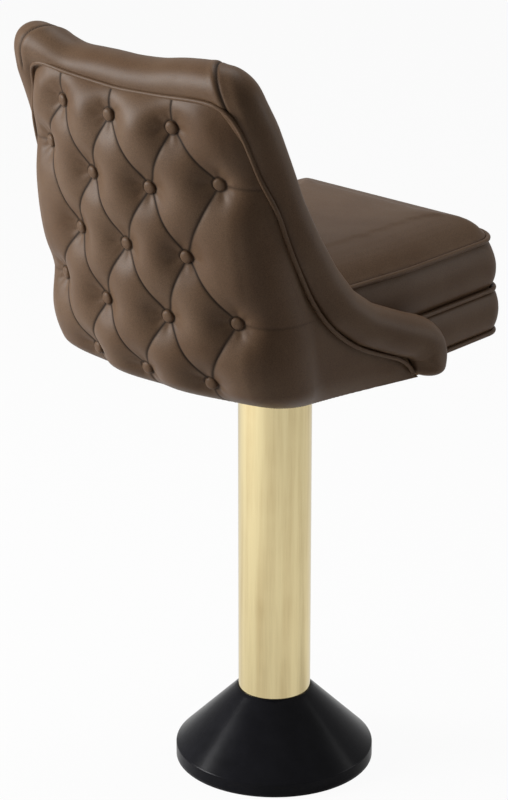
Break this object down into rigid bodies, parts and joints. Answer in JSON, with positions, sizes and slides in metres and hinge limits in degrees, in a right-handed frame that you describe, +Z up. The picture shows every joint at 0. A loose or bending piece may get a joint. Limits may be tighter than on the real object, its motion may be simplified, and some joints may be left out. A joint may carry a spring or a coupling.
{
  "type": "counter stool",
  "caption": "Swivel counter stool with a button-tufted bucket back, box seat cushion, round column and a conical floor base that bolts down.",
  "frame": {"origin": "centre of the floor bolt circle, on the floor, under the swivel axis", "axes": "+Z up along the column; the sitter faces -Y, the tufted outside of the back is on the +Y side; +X to the sitter's left"},
  "size_m": [0.5005, 0.5935, 1.0836],
  "materials": {
    "black_steel": "satin black powder coat",
    "gloss_black": "gloss black enamel",
    "polished_brass": "polished",
    "bare_steel": "ground",
    "zinc_steel": "zinc plated",
    "bronze": "sintered bronze",
    "plywood": "sanded",
    "timber": "planed",
    "leather": "soft semi-gloss",
    "lining_cloth": "matt woven"
  },
  "bodies": {
    "pedestal": {"floor_flange": "black_steel", "base_cover": "gloss_black", "column_tube": "black_steel", "column_sleeve": "polished_brass", "bearing_housing": "bare_steel", "lower_bush": "bronze", "bearing_outer_race": "bare_steel"},
    "seat": {"bearing_inner_race": "bare_steel", "bearing_balls": "bare_steel", "swivel_spindle": "bare_steel", "thrust_washer": "bronze", "retaining_clip": "bare_steel", "seat_mounting_plate": "black_steel", "plate_screws": "zinc_steel", "tee_nuts": "zinc_steel", "seat_board": "plywood", "seat_rails": "timber", "seat_deck": "plywood", "seat_band": "leather", "seat_cushion": "leather", "top_welt": "leather", "middle_welt": "leather", "bottom_welt": "leather", "dust_cover": "lining_cloth", "bucket_shell": "plywood", "inner_back_pad": "leather", "tufted_back_pad": "leather", "edge_roll": "leather", "back_welt": "leather", "tufting_buttons": "leather", "shell_screws": "zinc_steel"}
  },
  "joints": [
    {"name": "seat_swivel", "type": "hinge", "parent": "pedestal", "child": "seat", "pos_m": [0, 0, 0.58], "axis": [0, 0, 1], "continuous": true}
  ]
}
